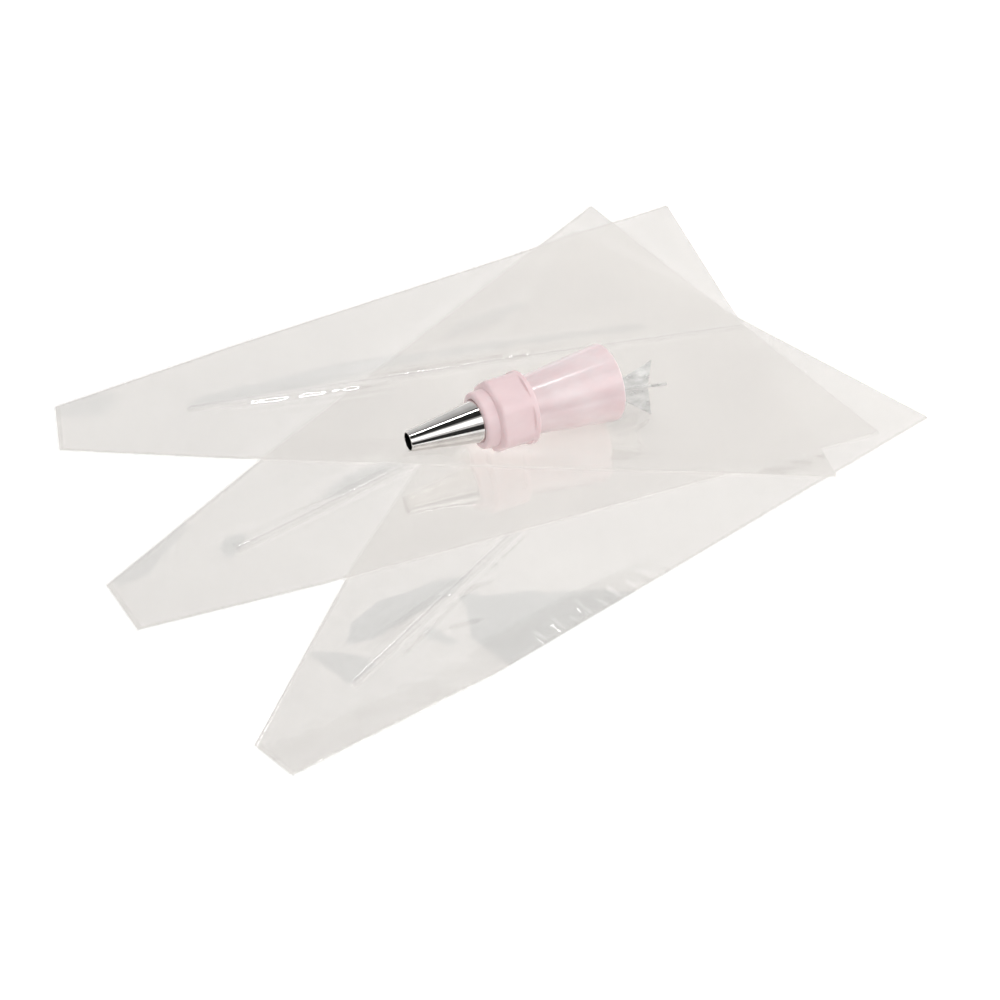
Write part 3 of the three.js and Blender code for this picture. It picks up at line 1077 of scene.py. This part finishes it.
def make_bags() -> list[Bag]:
    """The three bags from the bottom of the stack up, with their puffs, patches of painted dark reflection
    and creases.

    Returns:
        The lower, middle and upper bag.
    """
    lower = Bag(
        name="lower_bag",
        below=[],
        puffs=(
            Puff(along=78, left=8, length=42, width=11, height=0.4, turn_deg=-10),
            Puff(along=118, left=-30, length=50, width=26, height=0.5, turn_deg=-25),
        ),
        # Patches of painted dark reflection.
        patches=(
            DarkReflectionPatch(
                outline=((49, 13), (62, 6), (93, 0), (102, 0), (93, 7), (72, 17), (57, 18)),
                strength=0.56,
            ),
            DarkReflectionPatch(outline=((38, 1), (48, -1), (56, 1), (47, 11), (45, 17), (38, 21)), strength=0.49),
            DarkReflectionPatch(outline=((70, -7), (73, -15), (76, -16), (76, -5), (72, -2)), strength=0.46),
            DarkReflectionPatch(
                outline=((81, -18), (80, -48), (146, -66), (144, -54), (116, -27), (94, -2)),
                strength=0.55,
            ),
        ),
        creases=(
            Crease(start=(50, -4), end=(150, -3), width=1.2, height=0.16),
            Crease(start=(96, -42), end=(97, -33), width=1.0, height=0.14),
            Crease(start=(104, -44), end=(106, -34), width=1.1, height=0.20),
            Crease(start=(110, -45), end=(111, -38), width=1.0, height=0.17),
            Crease(start=(116, -47), end=(118, -36), width=1.2, height=0.22),
            Crease(start=(123, -49), end=(124, -42), width=1.0, height=0.17),
            Crease(start=(129, -51), end=(131, -42), width=1.1, height=0.20),
            Crease(start=(137, -53), end=(138, -46), width=1.0, height=0.17),
            Crease(start=(145, -55), end=(146, -48), width=1.0, height=0.18),
            Crease(start=(154, -57), end=(155, -51), width=1.0, height=0.15),
            Crease(start=(78, -8), end=(92, -16), width=1.3, height=0.16),
            Crease(start=(84, 3), end=(112, -10), width=1.4, height=0.16),
        ),
        seed=11,
        seam_from=38.5 * MM,
        dot_height=0.07 * MM,
    )
    middle = Bag(
        name="middle_bag",
        below=[lower],
        puffs=(
            Puff(along=105, left=6, length=38, width=8, height=0.7),
            Puff(along=47, left=4, length=14, width=8, height=0.5),
        ),
        # Patches of painted dark reflection.
        patches=(
            DarkReflectionPatch(outline=((3, 9), (14, 8), (38, 20), (38, 27), (3, 16)), strength=0.36),
            DarkReflectionPatch(outline=((41, 4), (43, -1), (50, 0), (53, 5), (47, 9)), strength=0.53),
            DarkReflectionPatch(outline=((82, 4), (92, 1), (124, 2), (122, 7), (100, 9)), strength=0.40),
        ),
        creases=(
            Crease(start=(48, -3.5), end=(128, -4.5), width=1.1, height=0.14),
            Crease(start=(52, 6), end=(90, 4), width=1.1, height=0.12),
        ),
        seed=23,
        seam_from=45.5 * MM,
    )
    upper = Bag(
        name="upper_bag",
        below=[lower, middle],
        puffs=(
            Puff(along=150, left=6, length=105, width=9, height=0.8, turn_deg=1.5),
            Puff(along=185, left=28, length=32, width=8, height=0.4, turn_deg=17),
            Puff(along=176, left=-42, length=110, width=62, height=2.0, turn_deg=10),
        ),
        # Patches of painted dark reflection.
        patches=(
            DarkReflectionPatch(outline=((-1, 7), (17, 3), (23, 8), (24, 15), (20, 17), (-1, 13)), strength=0.30),
            DarkReflectionPatch(outline=((51, 0), (77, 1), (156, 8), (156, 14), (117, 14), (57, 6)), strength=0.40),
            DarkReflectionPatch(outline=((150, 8), (256, 7), (258, 11), (150, 14)), strength=0.33),
            DarkReflectionPatch(outline=((163, 20), (176, 20), (206, 32), (204, 37), (176, 30)), strength=0.23),
        ),
        creases=(
            Crease(start=(52, -5), end=(150, -6), width=1.1, height=0.14),
            Crease(start=(56, -8), end=(140, -10), width=1.1, height=0.10),
            Crease(start=(62, -0.8), end=(142, -2.4), width=1.75, height=0.78),
            Crease(start=(186, 0.5), end=(199, 2.5), width=1.5, height=0.65),
        ),
        seed=37,
        seam_from=51.0 * MM,
    )
    return [lower, middle, upper]


# ---------------------------------------------------------------- coupler


@dataclass(frozen=True)
class Stop:
    """One corner of a turned profile: its distance from the outlet, radius and edge rounding.

    Lengths are in millimetres. hexagonal says how far the nut's flats shape the radius there.
    """

    along: float
    radius: float
    rounding: float = 0.0
    hexagonal: float = 0.0


def rounded_loop(stops: list[Stop]) -> np.ndarray:
    """Walks a closed profile and replaces each rounded corner by an arc-like curve.

    A corner of rounding r becomes the quadratic curve from the point r before it to the point r
    after it, with the corner as its control point.

    Args:
        stops: the profile's corners in order.

    Returns:
        Rows of distance, radius and hexagonal share.
    """
    rows = np.array([[stop.along, stop.radius, stop.hexagonal] for stop in stops])
    before = np.roll(rows, 1, axis=0)
    after = np.roll(rows, -1, axis=0)
    share = np.linspace(0.0, 1.0, CORNER_POINTS)[:, None]
    path = []
    for stop, here, back, front in zip(stops, rows, before, after):
        if stop.rounding <= 0.0:
            path.append(here[None, :])
            continue
        back_length = np.hypot(*(back - here)[:2])
        front_length = np.hypot(*(front - here)[:2])
        start = here + (back - here) * min(0.5, stop.rounding / back_length)
        end = here + (front - here) * min(0.5, stop.rounding / front_length)
        path.append((1 - share) ** 2 * start + 2 * share * (1 - share) * here + share**2 * end)
    return np.concatenate(path)


def dense_loop(path: np.ndarray, longest: float) -> np.ndarray:
    """Adds points on a closed profile's straight runs so that no step is over a length.

    Args:
        path: rows of distance, radius and hexagonal share.
        longest: the longest step, in millimetres.

    Returns:
        The denser rows.
    """
    onward = np.roll(path, -1, axis=0)
    pieces = []
    for here, there in zip(path, onward):
        count = max(1, math.ceil(np.hypot(*(there - here)[:2]) / longest))
        pieces.append(here + (there - here) * np.arange(count)[:, None] / count)
    return np.concatenate(pieces)


@dataclass(frozen=True)
class Thread:
    """A helical ridge on a cylinder, in millimetres from the nozzle's outlet.

    root is the cylinder's radius, and side is 1 where the ridge stands outwards and -1 inwards.
    """

    start: float
    turns: float
    height: float
    root: float
    side: float
    pitch: float = 3.2

    def rise(self, along: np.ndarray, angle: np.ndarray, radius: np.ndarray) -> np.ndarray:
        """How far the ridge moves points of the cylinder away from the axis.

        The ridge's centre advances by one pitch for each turn. Its section is a flat-topped bell,
        and it fades in and out over an eighth of a turn.

        Args:
            along: distances along the axis.
            angle: angles round the axis, from 0 to 2 pi.
            radius: the profile's radii, which say what lies on the cylinder.

        Returns:
            The change in radius at each point.
        """
        turn = angle / (2.0 * math.pi)
        whole = np.round((along - self.start) / self.pitch - turn)
        travelled = whole + turn
        offset = np.abs(along - self.start - self.pitch * travelled)
        section = 1.0 - smooth_step(offset, 0.12 * self.pitch, 0.26 * self.pitch)
        fade = smooth_step(travelled, -0.02, 0.12) * smooth_step(self.turns - travelled, -0.02, 0.12)
        on_root = np.abs(radius - self.root) < 0.01
        return self.side * self.height * on_root * (section * fade)


@dataclass
class Coupler:
    """The nozzle, nut, base and divider. Profiles are in millimetres from the nozzle's outlet."""

    segments: int = 192
    outlet_radius: float = 4.0
    taper: float = 0.156
    nozzle_wall: float = 0.5
    collar_radius: float = 11.5
    across_flats: float = 28.0
    corner_radius: float = 15.1
    corner_angle_deg: float = 127.0
    corner_order: float = 70.0
    shrink: float = 0.976

    def __post_init__(self) -> None:
        """Reads the outlet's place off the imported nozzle."""
        low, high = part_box("nozzle")
        self.outlet = np.array([low.x, 0.5 * (low.y + high.y), 0.5 * (low.z + high.z)])

    def nozzle_radius(self, along: float) -> float:
        """The nozzle's outer radius at a distance from its outlet."""
        return self.outlet_radius + self.taper * along

    def flat_radius(self, angle: np.ndarray) -> np.ndarray:
        """The nut body's radius: the distance to the nearest flat, eased into round corners.

        A high-order mean of the six flats' reach and the corner circle blends the two.

        Args:
            angle: angles round the axis.

        Returns:
            The radii, in millimetres.
        """
        turned = angle - math.radians(self.corner_angle_deg)
        from_flat = np.mod(turned, math.pi / 3.0) - math.pi / 6.0
        reach = 0.5 * self.across_flats / np.cos(from_flat)
        order = self.corner_order
        return (reach**-order + self.corner_radius**-order) ** (-1.0 / order)

    def turn(
        self, name: str, path: np.ndarray, sharp_deg: float, thread: Thread | None = None
    ) -> bpy.types.Object:
        """Turns a closed profile about the coupler's axis.

        Args:
            name: the piece's name.
            path: rows of distance, radius and hexagonal share, outside first.
            sharp_deg: the angle from which an edge stays sharp.
            thread: a thread on the profile, if it has one.

        Returns:
            The new object.
        """
        angle = np.linspace(0.0, 2.0 * math.pi, self.segments, endpoint=False)[None, :]
        along = path[:, 0:1] + np.zeros_like(angle)
        hexagonal = path[:, 2:3]
        radius = path[:, 1:2] + hexagonal * (self.flat_radius(angle) - 0.5 * self.across_flats)
        if thread:
            radius = radius + thread.rise(along, angle, path[:, 1:2])
        points = np.stack(
            [
                self.outlet[0] + MM * self.shrink * along,
                self.outlet[1] + MM * radius * np.cos(angle),
                self.outlet[2] + MM * radius * np.sin(angle),
            ],
            axis=-1,
        )
        quads = ring_quads(len(path), self.segments, close_rows=True)
        return write_mesh(name, points.reshape(-1, 3), [quads], sharp_deg)

    def build_nozzle(self, finishes: Finishes) -> None:
        """Makes the nozzle: a thin cone with a rounded outlet edge and a rim inside the nut.

        Args:
            finishes: the set's materials.
        """
        wall = self.nozzle_wall
        stops = [
            Stop(0.0, self.nozzle_radius(0.0) - wall, 0.15),
            Stop(0.0, self.nozzle_radius(0.0), 0.2),
            Stop(36.9, self.nozzle_radius(36.9)),
            Stop(37.35, 10.65, 0.3),
            Stop(38.75, 10.65, 0.3),
            Stop(38.75, self.nozzle_radius(38.75) - wall, 0.15),
        ]
        path = dense_loop(rounded_loop(stops), 1.0)
        piece = self.turn("nozzle_shell", path, 35.0)
        # Marks the inner surface, which gets painted shade, apart from the first half millimetre at the
        # outlet.
        bore_shade = path[:, 1] < self.outlet_radius + self.taper * path[:, 0] - 0.6 * wall
        set_point_attribute(piece, "bore_shade", np.repeat(bore_shade * (path[:, 0] > 0.5), self.segments))
        dress(piece, finishes.steel, "nozzle_body", "nozzle")

    def build_nut(self, finishes: Finishes) -> None:
        """Makes the nut: a round collar, a body with six soft flats, a thin rear rim and a thread.

        Args:
            finishes: the set's materials.
        """
        flat = 0.5 * self.across_flats
        seat = 37.0
        gap = 0.4
        stops = [
            Stop(29.5, self.nozzle_radius(29.5) + gap, 0.3),
            Stop(29.5, self.collar_radius, 1.3),
            Stop(35.1, self.collar_radius + 0.15, 0.35),
            Stop(35.1, 12.6),
            Stop(35.55, flat - 0.55, 0.6, 0.85),
            Stop(36.3, flat - 0.05, 0.7, 1.0),
            Stop(48.9, flat - 0.1, 0.3, 1.0),
            Stop(49.35, 15.0, 0.2),
            Stop(51.25, 15.15, 0.5),
            Stop(51.25, 12.45, 0.25),
            Stop(47.5, 12.4, 0.2),
            Stop(47.4, 11.9),
            Stop(40.1, 11.9),
            Stop(40.0, 11.15),
            Stop(seat, 11.15),
            Stop(seat, self.nozzle_radius(seat) + gap),
        ]
        path = dense_loop(rounded_loop(stops), 0.35)
        thread = Thread(start=41.9, turns=1.4, height=0.75, root=11.9, side=-1.0)
        piece = self.turn("nut_shell", path, 42.0, thread)
        dress(piece, finishes.nut, "nut_body", "nut")

    def build_base(self, finishes: Finishes) -> None:
        """Makes the base: a nose inside the nozzle, a threaded neck and a flared cone.

        Args:
            finishes: the set's materials.
        """
        nose_front = self.nozzle_radius(33.8) - self.nozzle_wall - 0.4
        nose_rear = self.nozzle_radius(38.8) - self.nozzle_wall - 0.4
        stops = [
            Stop(33.8, nose_front - 0.95, 0.2),
            Stop(33.8, nose_front, 0.25),
            Stop(39.2, nose_rear),
            Stop(39.25, 10.4, 0.2),
            Stop(48.0, 10.4),
            Stop(48.1, 11.3, 0.15),
            Stop(89.75, 16.35, 0.5),
            Stop(89.75, 15.15, 0.5),
            Stop(48.0, 10.1, 0.8),
            Stop(46.8, 8.7, 0.8),
            Stop(39.2, 8.7, 0.4),
        ]
        path = dense_loop(rounded_loop(stops), 0.4)
        thread = Thread(start=40.3, turns=2.0, height=1.05, root=10.4, side=1.0)
        piece = self.turn("base_shell", path, 40.0, thread)
        dress(piece, finishes.base, "coupler_base", "base")


@dataclass
class Divider:
    """The clear insert: three vanes on a slim stem, flared behind the base's mouth."""

    nose: tuple[float, float, float] = (65.3, 0.0, 0.0)
    yaw_deg: float = -8.8
    droop_deg: float = 4.3
    length: float = 42.5
    flare_from: float = 22.0
    stem_radius: float = 2.2
    flare_radius: float = 13.2
    tail_notch: float = 2.5
    half_thickness: float = 0.55
    vane_angles_deg: tuple[float, ...] = (9.0, 135.0, 249.0)
    vane_reaches: tuple[float, ...] = (4.5, 0.0, 0.5)
    nose_height_share: float = 0.35
    nose_share: float = 0.05
    flare_ease: float = 0.45
    rows: int = 90
    side_points: int = 14
    tip_points: int = 7

    def height(self, along: np.ndarray) -> np.ndarray:
        """The vanes' height: the stem's, then a rise as the share along the flare, eased in.

        Args:
            along: distances behind the nose.

        Returns:
            The heights, in millimetres.
        """
        share = np.clip((along - self.flare_from) / (self.length - self.flare_from), 0.0, 1.0)
        eased = share * (1.0 - self.flare_ease + self.flare_ease * share)
        return self.stem_radius + (self.flare_radius - self.stem_radius) * eased

    def outline(self, height: np.ndarray) -> tuple[np.ndarray, np.ndarray]:
        """The star-shaped section of each row: both sides and the round tip of each vane.

        Args:
            height: the vanes' height in each row.

        Returns:
            The points' two coordinates across the axis, rows by points round the star.
        """
        tip = self.half_thickness
        root = tip / math.tan(math.pi / 3.0)
        share = np.linspace(0.0, 1.0, self.side_points)
        bend = np.linspace(-0.5 * math.pi, 0.5 * math.pi, self.tip_points + 2)[1:-1]
        reach = height[:, None] - tip - root
        out_side = root + reach * share[None, :]
        tip_out = root + reach + tip * np.cos(bend)[None, :]
        radial = np.concatenate([out_side, tip_out, out_side[:, ::-1][:, :-1]], axis=1)
        offset = np.concatenate(
            [np.full(self.side_points, -tip), tip * np.sin(bend), np.full(self.side_points - 1, tip)]
        )[None, :]
        first, second = [], []
        for angle in np.radians(self.vane_angles_deg):
            first.append(radial * math.cos(angle) - offset * math.sin(angle))
            second.append(radial * math.sin(angle) + offset * math.cos(angle))
        return np.concatenate(first, axis=1), np.concatenate(second, axis=1)

    def build(self, outlet: np.ndarray, finishes: Finishes) -> None:
        """Makes the divider as a star-shaped section carried along its tilted axis.

        Args:
            outlet: the nozzle's outlet, from which the nose is placed.
            finishes: the set's materials.
        """
        share = np.linspace(0.0, 1.0, self.rows)
        station = self.length * share
        rounded = smooth_step(share, 0.0, self.nose_share)
        nose = self.nose_height_share + (1.0 - self.nose_height_share) * rounded
        across, up = self.outline(self.height(station) * nose)
        outward = np.hypot(across, up) / self.flare_radius
        columns = across.shape[1]
        reach = np.repeat(self.vane_reaches, columns // len(self.vane_reaches))[None, :] * outward
        along = station[:, None] + (reach - self.tail_notch * (1.0 - outward)) * np.square(share)[:, None]
        points = np.stack([along, across, up], axis=-1).reshape(-1, 3)
        ends = np.array([[0.0, 0.0, 0.0], [self.length - self.tail_notch, 0.0, 0.0]])
        points = np.concatenate([points, ends])
        ring = np.arange(columns)
        onward = np.roll(ring, -1)
        last = (self.rows - 1) * columns
        front = np.stack([np.full(columns, len(points) - 2), onward, ring], axis=-1)
        rear = np.stack([np.full(columns, len(points) - 1), last + ring, last + onward], axis=-1)
        turned = (
            Matrix.Rotation(math.radians(self.yaw_deg), 3, "Z")
            @ Matrix.Rotation(math.radians(self.droop_deg), 3, "Y")
        )
        placed = points @ np.array(turned).T + np.array(self.nose)
        quads = ring_quads(self.rows, columns, close_rows=False)
        piece = write_mesh("divider_vanes", outlet + MM * placed, [quads, front, rear], 45.0)
        dress(piece, finishes.clear, "divider_body", "divider", casts_shadow=True)


# ---------------------------------------------------------------- studio


@dataclass(frozen=True)
class View:
    """The camera: it looks down at the table from the side of the nozzle and the bags' tips."""

    target: tuple[float, float, float] = (-0.0214, -0.0378, 0.0)
    azimuth_deg: float = -31.755
    elevation_deg: float = 48.33
    distance: float = 0.49046
    roll: float = 0.1148
    lens: float = 45.2
    sensor: float = 36.0

    def build(self) -> None:
        """Makes the camera and gives it to the scene."""
        turn = math.radians(self.azimuth_deg)
        back = direction(self.azimuth_deg, self.elevation_deg)
        level = Vector((math.cos(turn), math.sin(turn), 0.0))
        upright = back.cross(level)
        right = math.cos(self.roll) * level + math.sin(self.roll) * upright
        up = back.cross(right)
        camera = bpy.data.cameras.new("camera")
        camera.lens = self.lens
        camera.sensor_width = self.sensor
        camera.clip_start = 0.01
        seat = bpy.data.objects.new("camera", camera)
        place = Matrix((right, up, back)).transposed().to_4x4()
        place.translation = Vector(self.target) + self.distance * back
        seat.matrix_world = place
        bpy.context.scene.collection.objects.link(seat)
        bpy.context.scene.camera = seat


@dataclass(frozen=True)
class Panel:
    """A flat lamp or a dark card that faces the set, placed by its direction from the middle."""

    name: str
    azimuth_deg: float
    elevation_deg: float
    distance: float
    width: float
    height: float
    power: float = 0.0

    def pose(self) -> Matrix:
        """The panel's place, with its own -Z towards the set.

        Returns:
            The place and turn as a matrix.
        """
        back = direction(self.azimuth_deg, self.elevation_deg)
        rotation = (-back).to_track_quat("-Z", "Y").to_matrix().to_4x4()
        rotation.translation = self.distance * back
        return rotation

    def build_lamp(self) -> None:
        """Makes the panel as a soft rectangular lamp."""
        lamp = bpy.data.lights.new(self.name, "AREA")
        lamp.shape = "RECTANGLE"
        lamp.size = self.width
        lamp.size_y = self.height
        lamp.energy = self.power
        holder = bpy.data.objects.new(self.name, lamp)
        holder.matrix_world = self.pose()
        holder.visible_camera = False
        bpy.context.scene.collection.objects.link(holder)

    def build_card(self) -> None:
        """Makes the panel as a dark card that only polished and clear surfaces see."""
        card = flat_card(self.name, self.width, self.height)
        card.data.transform(self.pose())
        nodes = Nodes(self.name)
        nodes.set(Base_Color=(0.01, 0.01, 0.01, 1.0), Roughness=1.0)
        card.data.materials.append(nodes.material)
        card.visible_camera = False
        card.visible_diffuse = False
        card.visible_shadow = False


@dataclass(frozen=True)
class Studio:
    """A plain white floor, a white surround that is darker overhead, soft lamps and dark cards.

    The floor's glow rises from its near to its far strength between the two glow distances.
    """

    floor_size: float = 6.0
    floor_tone: tuple[float, float, float] = (0.90, 0.90, 0.90)
    floor_glow_near: float = 0.17
    floor_glow_far: float = 0.45
    glow_distances: tuple[float, float] = (0.12, 0.5)
    surround_low: float = 0.78
    surround_high: float = 0.36
    surround_heights: tuple[float, float] = (0.45, 0.95)
    transparent_bounces: int = 40
    lamps: tuple[Panel, ...] = (
        Panel("front_softbox", -8.0, 50.0, 1.0, 1.2, 0.46, power=2.1),
        Panel("back_spot", 173.8, 76.6, 0.675, 0.3, 0.04, power=0.7),
        Panel("side_softbox", 78.0, 50.0, 0.95, 0.7, 0.7, power=3.8),
    )
    cards: tuple[Panel, ...] = (
        Panel("overhead_card", 180.0, 88.0, 0.8, 1.6, 0.64),
        Panel("front_card", -8.0, 13.0, 0.8, 1.6, 0.37),
    )

    def build_surround(self) -> None:
        """Makes the surround, whose strength falls smoothly from the horizon to overhead."""
        world = bpy.data.worlds.new("studio")
        world.use_nodes = True
        tree = world.node_tree
        direction = tree.nodes.new("ShaderNodeTexCoord")
        parts = tree.nodes.new("ShaderNodeSeparateXYZ")
        fall = tree.nodes.new("ShaderNodeMapRange")
        start, end = self.surround_heights
        limits = {
            "From Min": start,
            "From Max": end,
            "To Min": self.surround_low,
            "To Max": self.surround_high,
        }
        for name, value in limits.items():
            fall.inputs[name].default_value = value
        tree.links.new(direction.outputs["Generated"], parts.inputs["Vector"])
        tree.links.new(parts.outputs["Z"], fall.inputs["Value"])
        tree.links.new(fall.outputs["Result"], tree.nodes["Background"].inputs["Strength"])
        tree.nodes["Background"].inputs["Color"].default_value = (1.0, 1.0, 1.0, 1.0)
        bpy.context.scene.world = world

    def build_floor(self) -> None:
        """Makes the floor: matt and white, with a faint glow that keeps it even far out."""
        floor = flat_card("floor", self.floor_size, self.floor_size)
        nodes = Nodes("pale_floor")
        nodes.set(
            Base_Color=(*self.floor_tone, 1.0),
            Roughness=0.8,
            Emission_Color=(1.0, 1.0, 1.0, 1.0),
            Specular_IOR_Level=0.1,
        )
        distance = nodes.add("ShaderNodeVectorMath", operation="LENGTH")
        nodes.link(nodes.place((1.0, 1.0, 1.0)), distance.inputs[0])
        near, far = self.glow_distances
        strengths = {"To_Min": self.floor_glow_near, "To_Max": self.floor_glow_far}
        glow = nodes.add("ShaderNodeMapRange", From_Min=near, From_Max=far, **strengths)
        nodes.link(distance.outputs["Value"], glow.inputs["Value"])
        nodes.link(glow.outputs["Result"], nodes.shader.inputs["Emission Strength"])
        floor.data.materials.append(nodes.material)

    def build(self) -> None:
        """Makes the floor, the surround, the lamps and the dark cards."""
        scene = bpy.context.scene
        scene.view_settings.view_transform = "Standard"
        scene.cycles.transparent_max_bounces = self.transparent_bounces
        self.build_surround()
        self.build_floor()
        for lamp in self.lamps:
            lamp.build_lamp()
        for card in self.cards:
            card.build_card()


def main() -> None:
    """Builds the camera, the studio, the bags and the coupler, and reports each piece."""
    logging.basicConfig(level=logging.INFO, format="%(message)s")
    View().build()
    Studio().build()
    finishes = Finishes()
    for bag in make_bags():
        bag.build(finishes)
    coupler = Coupler()
    coupler.build_nozzle(finishes)
    coupler.build_nut(finishes)
    coupler.build_base(finishes)
    Divider().build(coupler.outlet, finishes)


if __name__ == "__main__":
    main()
